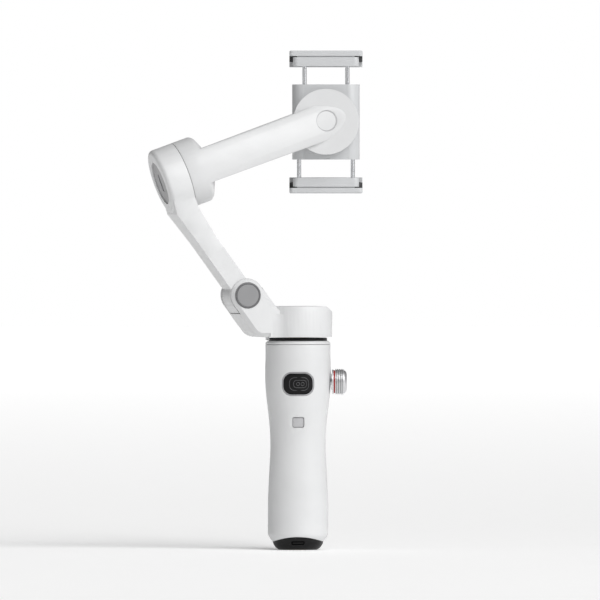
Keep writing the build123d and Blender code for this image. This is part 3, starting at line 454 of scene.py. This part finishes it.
def dome(build, place, radius, height, sink, turns=12):
    """Low rounded dome that reaches below its place by sink."""
    rims = [(radius, -sink), (radius, 0.0)]
    rims += [(radius * math.cos(angle), height * math.sin(angle)) for angle in turned(16)[1:4]]
    loops = []
    for reach, rise in rims:
        rim = [place @ (radial(angle) * reach + UP * rise) for angle in turned(turns)]
        loops.append([build.verts.new(point) for point in rim])
    foot = build.verts.new(place @ Vector((0, 0, -sink)))
    top = build.verts.new(place @ Vector((0, 0, height)))
    for step in range(turns):
        after = (step + 1) % turns
        build.faces.new((foot, loops[0][step], loops[0][after]))
        build.faces.new((loops[-1][step], loops[-1][after], top))
        for low, high in zip(loops, loops[1:]):
            build.faces.new((low[step], low[after], high[after], high[step]))


def rounded_path(middle, width, height, corner, steps=8):
    """Points round a rounded rectangle in the X-Z plane, sizes in millimetres."""
    points = []
    for quarter, (side_x, side_z) in enumerate(((1, 1), (-1, 1), (-1, -1), (1, -1))):
        for step in range(steps + 1):
            angle = math.pi / 2 * (quarter + step / steps)
            x = side_x * (width / 2 - corner) + corner * math.cos(angle)
            z = side_z * (height / 2 - corner) + corner * math.sin(angle)
            points.append((middle.x + x * MM, middle.z + z * MM))
    return points


def surface_line(build, node, path, half, height):
    """Raised line, sized in millimetres, that follows a closed path over the front of a node."""
    surface = BVHTree.FromObject(nodes[node], bpy.context.evaluated_depsgraph_get())
    in_front = -0.1
    spots = []
    for x, z in path:
        hit, normal = surface.ray_cast(Vector((x, in_front, z)), Vector((0, 1, 0)))[:2]
        spots.append((hit, -normal if normal.y > 0 else normal))
    sink = 0.15
    shoulder = half * 0.8
    bend = height * 0.6
    outline = [(-half, -sink), (-shoulder, bend), (0, height), (shoulder, bend), (half, -sink)]
    loops = []
    for index, (hit, normal) in enumerate(spots):
        ahead = (spots[(index + 1) % len(spots)][0] - spots[index - 1][0]).normalized()
        across = ahead.cross(normal).normalized()
        loops.append([hit + across * side * MM + normal * rise * MM for side, rise in outline])
    skin(build, loops, ring=True)


def annulus(build, place, inner, outer, low, high):
    """Ring with a rectangular section round a place's z axis, sizes in millimetres."""
    corners = ((inner, low), (outer, low), (outer, high), (inner, high))
    loops = []
    for angle in turned(72):
        loops.append([place @ ((radial(angle) * radius + UP * rise) * MM) for radius, rise in corners])
    skin(build, loops, ring=True)


def socket_screw(build, place):
    """Low cap screw head with a six-sided socket."""
    head_r, edge_r, socket_r = 1.25, 1.1, 0.62
    profile = ((head_r, -0.3), (head_r, 0.22), (edge_r, 0.38), (socket_r, 0.38), (socket_r, -0.15))
    loops = []
    for radius, rise in profile:
        loop = []
        for angle in turned(24):
            reach = radius
            if radius == socket_r:
                within = (angle % (math.pi / 3)) - math.pi / 6
                reach = radius * math.cos(math.pi / 6) / math.cos(within)
            loop.append(place @ ((radial(angle) * reach + UP * rise) * MM))
        loops.append(loop)
    skin(build, loops)


def joint_place(name):
    """Anchor and axis of a joint, in metres."""
    joint = next(joint for joint in record["behaviour"]["joints"] if joint["name"] == name)
    return Vector(joint["pos_m"]), Vector(joint["axis"]).normalized()


def extent(node, direction):
    """Lowest and highest reach of a node along a direction."""
    reach = [vertex.co.dot(direction) for vertex in nodes[node].data.vertices]
    return min(reach), max(reach)


def slide_to(spot, direction, reach):
    """Point moved along a direction until it is at that reach."""
    return spot + direction * (reach - spot.dot(direction))


tilt_anchor, tilt_axis = joint_place("tilt")
hinge_anchor, hinge_axis = joint_place("fold_hinge")
if tilt_axis.x < 0:
    tilt_axis = -tilt_axis
user_side = hinge_axis if hinge_axis.y > 0 else -hinge_axis

# ------------------------------------------------------------------ added pieces

# ribbed rubber where the jaws grip the phone's edges
RIB_PITCH = 1.9 * MM
for jaw, facing in (("upper", -1), ("lower", 1)):
    low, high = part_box(jaw + "_jaw_pad")
    grip_z = low.z if facing < 0 else high.z
    rubber = bmesh.new()
    rib_y = low.y + 1.2 * MM
    while rib_y < high.y - 1.0 * MM:
        start = Vector((low.x + 1.0 * MM, rib_y, grip_z))
        end = Vector((high.x - 1.0 * MM, rib_y, grip_z))
        ridge(rubber, start, end, UP * facing, half=0.55 * MM, height=0.3 * MM, sink=0.3 * MM)
        rib_y += RIB_PITCH
    piece(jaw + "_jaw_ribs", rubber, jaw + "_jaw", "rubber_pad")

# upright ribs on the clamp's back pad
PAD_RIB_PITCH = 2.3 * MM
PAD_INSET = 3.2 * MM
low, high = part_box("clamp_pad")
rubber = bmesh.new()
rib_x = low.x + PAD_INSET
while rib_x < high.x - PAD_INSET + 0.1 * MM:
    start = Vector((rib_x, high.y, low.z + PAD_INSET))
    end = Vector((rib_x, high.y, high.z - PAD_INSET))
    ridge(rubber, start, end, Vector((0, 1, 0)), half=0.7 * MM, height=0.35 * MM, sink=0.3 * MM)
    rib_x += PAD_RIB_PITCH
piece("clamp_pad_ribs", rubber, "clamp", "rubber_pad")

# grip bumps around the joystick's cap
BUMP_CIRCLE_R = 4.75 * MM
low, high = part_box("joystick_cap")
cap_middle = (low + high) / 2
bumps = bmesh.new()
for angle in turned(12):
    x = cap_middle.x + BUMP_CIRCLE_R * math.cos(angle)
    z = cap_middle.z + BUMP_CIRCLE_R * math.sin(angle)
    place = frame_of((0, 1, 0), (1, 0, 0), Vector((x, high.y - 0.12 * MM, z)))
    dome(bumps, place, radius=0.38 * MM, height=0.25 * MM, sink=0.3 * MM)
piece("joystick_bumps", bumps, "joystick", "black_plastic")

# raised lines and two small rings on the trigger's face: shift, width, height and corner
TRIGGER_LINES = ((0.6, 11.4, 7.6, 3.0), (1.2, 7.8, 4.4, 1.9), (0.0, 1.9, 1.9, 0.94), (2.7, 1.9, 1.9, 0.94))
trigger_middle = centre("trigger_bezel")
relief = bmesh.new()
for shift, width, height, corner in TRIGGER_LINES:
    middle = trigger_middle + Vector((shift * MM, 0, 0))
    surface_line(relief, "trigger", rounded_path(middle, width, height, corner), half=0.26, height=0.18)
piece("trigger_relief", relief, "trigger", "black_plastic", "relief_black")

# grey line round the plain badge on the roll arm
badge_line = bmesh.new()
path = rounded_path(centre("roll_badge"), 11.7, 11.8, 5.8, steps=16)
surface_line(badge_line, "roll_badge", path, half=0.3, height=0.08)
piece("badge_line", badge_line, "roll_arm", "badge_grey", "button_grey")

# dark ring of painted shade in the gap between the tilt motor's two halves
rotor_start = extent("roll_arm_shell", tilt_axis)[0]
gap_centre = slide_to(tilt_anchor, tilt_axis, rotor_start - 0.05 * MM)
gap_ring = bmesh.new()
annulus(gap_ring, frame_of(tilt_axis, user_side, gap_centre), inner=17.8, outer=19.75, low=-0.22, high=0.0)
piece("tilt_gap_painted_shade", gap_ring, "upper_arm", "black_plastic")

# darker rims round the hinge's caps; their dark grey is painted shade of the caps' outer edges
CAP_STEP = 0.3 * MM
rims = bmesh.new()
for outward in (user_side, -user_side):
    seat = slide_to(hinge_anchor, outward, extent("hinge_caps", outward)[1] - CAP_STEP)
    annulus(rims, frame_of(outward, tilt_axis, seat), inner=6.55, outer=7.5, low=-0.15, high=0.2)
piece("hinge_cap_shade_rims", rims, "pan_arm", "cap_grey", "rim_painted_shade")

# dark ring of painted shade on the floor of the grooves between the wheel's ribs
wheel_middle = centre("focus_wheel")
wheel_foot = Vector((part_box("focus_wheel")[0].x, wheel_middle.y, wheel_middle.z))
grooves = bmesh.new()
annulus(grooves, frame_of((1, 0, 0), (0, 1, 0), wheel_foot), inner=6.7, outer=7.12, low=2.9, high=6.6)
piece("wheel_groove_painted_shade", grooves, "focus_wheel", "black_plastic", "cap_grey")

# socket screws that hold the arm covers
SCREW_INSET = 3.2 * MM
arm_length = centre("upper_arm_cover") - hinge_anchor
arm_length = (arm_length - user_side * arm_length.dot(user_side)).normalized()
for cover, body, along in (
    ("roll_arm_cover", "roll_arm", tilt_axis),
    ("upper_arm_cover", "upper_arm", arm_length),
):
    low_end, high_end = extent(cover, along)
    surface_middle = slide_to(centre(cover), user_side, extent(cover, user_side)[1])
    screws = bmesh.new()
    for end in (low_end + SCREW_INSET, high_end - SCREW_INSET):
        spot = surface_middle + along * (end - centre(cover).dot(along))
        socket_screw(screws, frame_of(user_side, along, spot))
    piece(cover + "_screws", screws, body, "rod_steel")

# spring that pulls the jaws together, hooked on the clamp below and on the upper jaw's slide frame above
WIRE_R = 0.3 * MM
WIRE_SIDES = 8
COIL_TURNS = 11
COIL_STEPS = 28
CLOSED_TURNS = 0.75
CLOSED_HEIGHT = 2.3 * WIRE_R * CLOSED_TURNS
low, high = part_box("clamp_spring")
spring_foot = Vector(((low.x + high.x) / 2, (low.y + high.y) / 2, low.z))
coil_r = (high.x - low.x) / 2 - WIRE_R
coil_length = high.z - low.z - 2 * WIRE_R


def coil_height(turn):
    """Height of the wire above its start, close-wound at both ends and open between them."""
    if turn < CLOSED_TURNS:
        return CLOSED_HEIGHT * turn / CLOSED_TURNS
    if turn > COIL_TURNS - CLOSED_TURNS:
        return coil_length - CLOSED_HEIGHT * (COIL_TURNS - turn) / CLOSED_TURNS
    share = (turn - CLOSED_TURNS) / (COIL_TURNS - 2 * CLOSED_TURNS)
    return CLOSED_HEIGHT + share * (coil_length - 2 * CLOSED_HEIGHT)


loops = []
for step in range(COIL_TURNS * COIL_STEPS + 1):
    out = radial(FULL_TURN * step / COIL_STEPS)
    spot = spring_foot + UP * (WIRE_R + coil_height(step / COIL_STEPS)) + out * coil_r
    around = [out * math.cos(angle) + UP * math.sin(angle) for angle in turned(WIRE_SIDES)]
    loops.append([spot + away * WIRE_R for away in around])
coil = bmesh.new()
skin(coil, loops)
spring = finish_piece("clamp_spring_coil", coil, "rod_steel")
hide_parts("clamp_spring")
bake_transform(spring)

# thread inside the tripod socket
THREAD_PITCH = 1.27 * MM
THREAD_TURNS = 6.3
THREAD_STEPS = 36
THREAD_R = 3.175
THREAD_CREST_R = 2.625
THREAD_SECTION = (
    (THREAD_R + 0.1, -0.5),
    (THREAD_CREST_R, -0.08),
    (THREAD_CREST_R, 0.08),
    (THREAD_R + 0.1, 0.5),
)
insert_middle = centre("tripod_insert")
thread_start = Vector((insert_middle.x, insert_middle.y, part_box("tripod_insert")[0].z + 0.5 * MM))
loops = []
for step in range(int(THREAD_TURNS * THREAD_STEPS) + 1):
    out = radial(FULL_TURN * step / THREAD_STEPS)
    level = thread_start + UP * (THREAD_PITCH * step / THREAD_STEPS)
    loops.append([level + (out * radius + UP * rise) * MM for radius, rise in THREAD_SECTION])
thread = bmesh.new()
skin(thread, loops)
piece("tripod_thread", thread, "handle", "insert_brass")
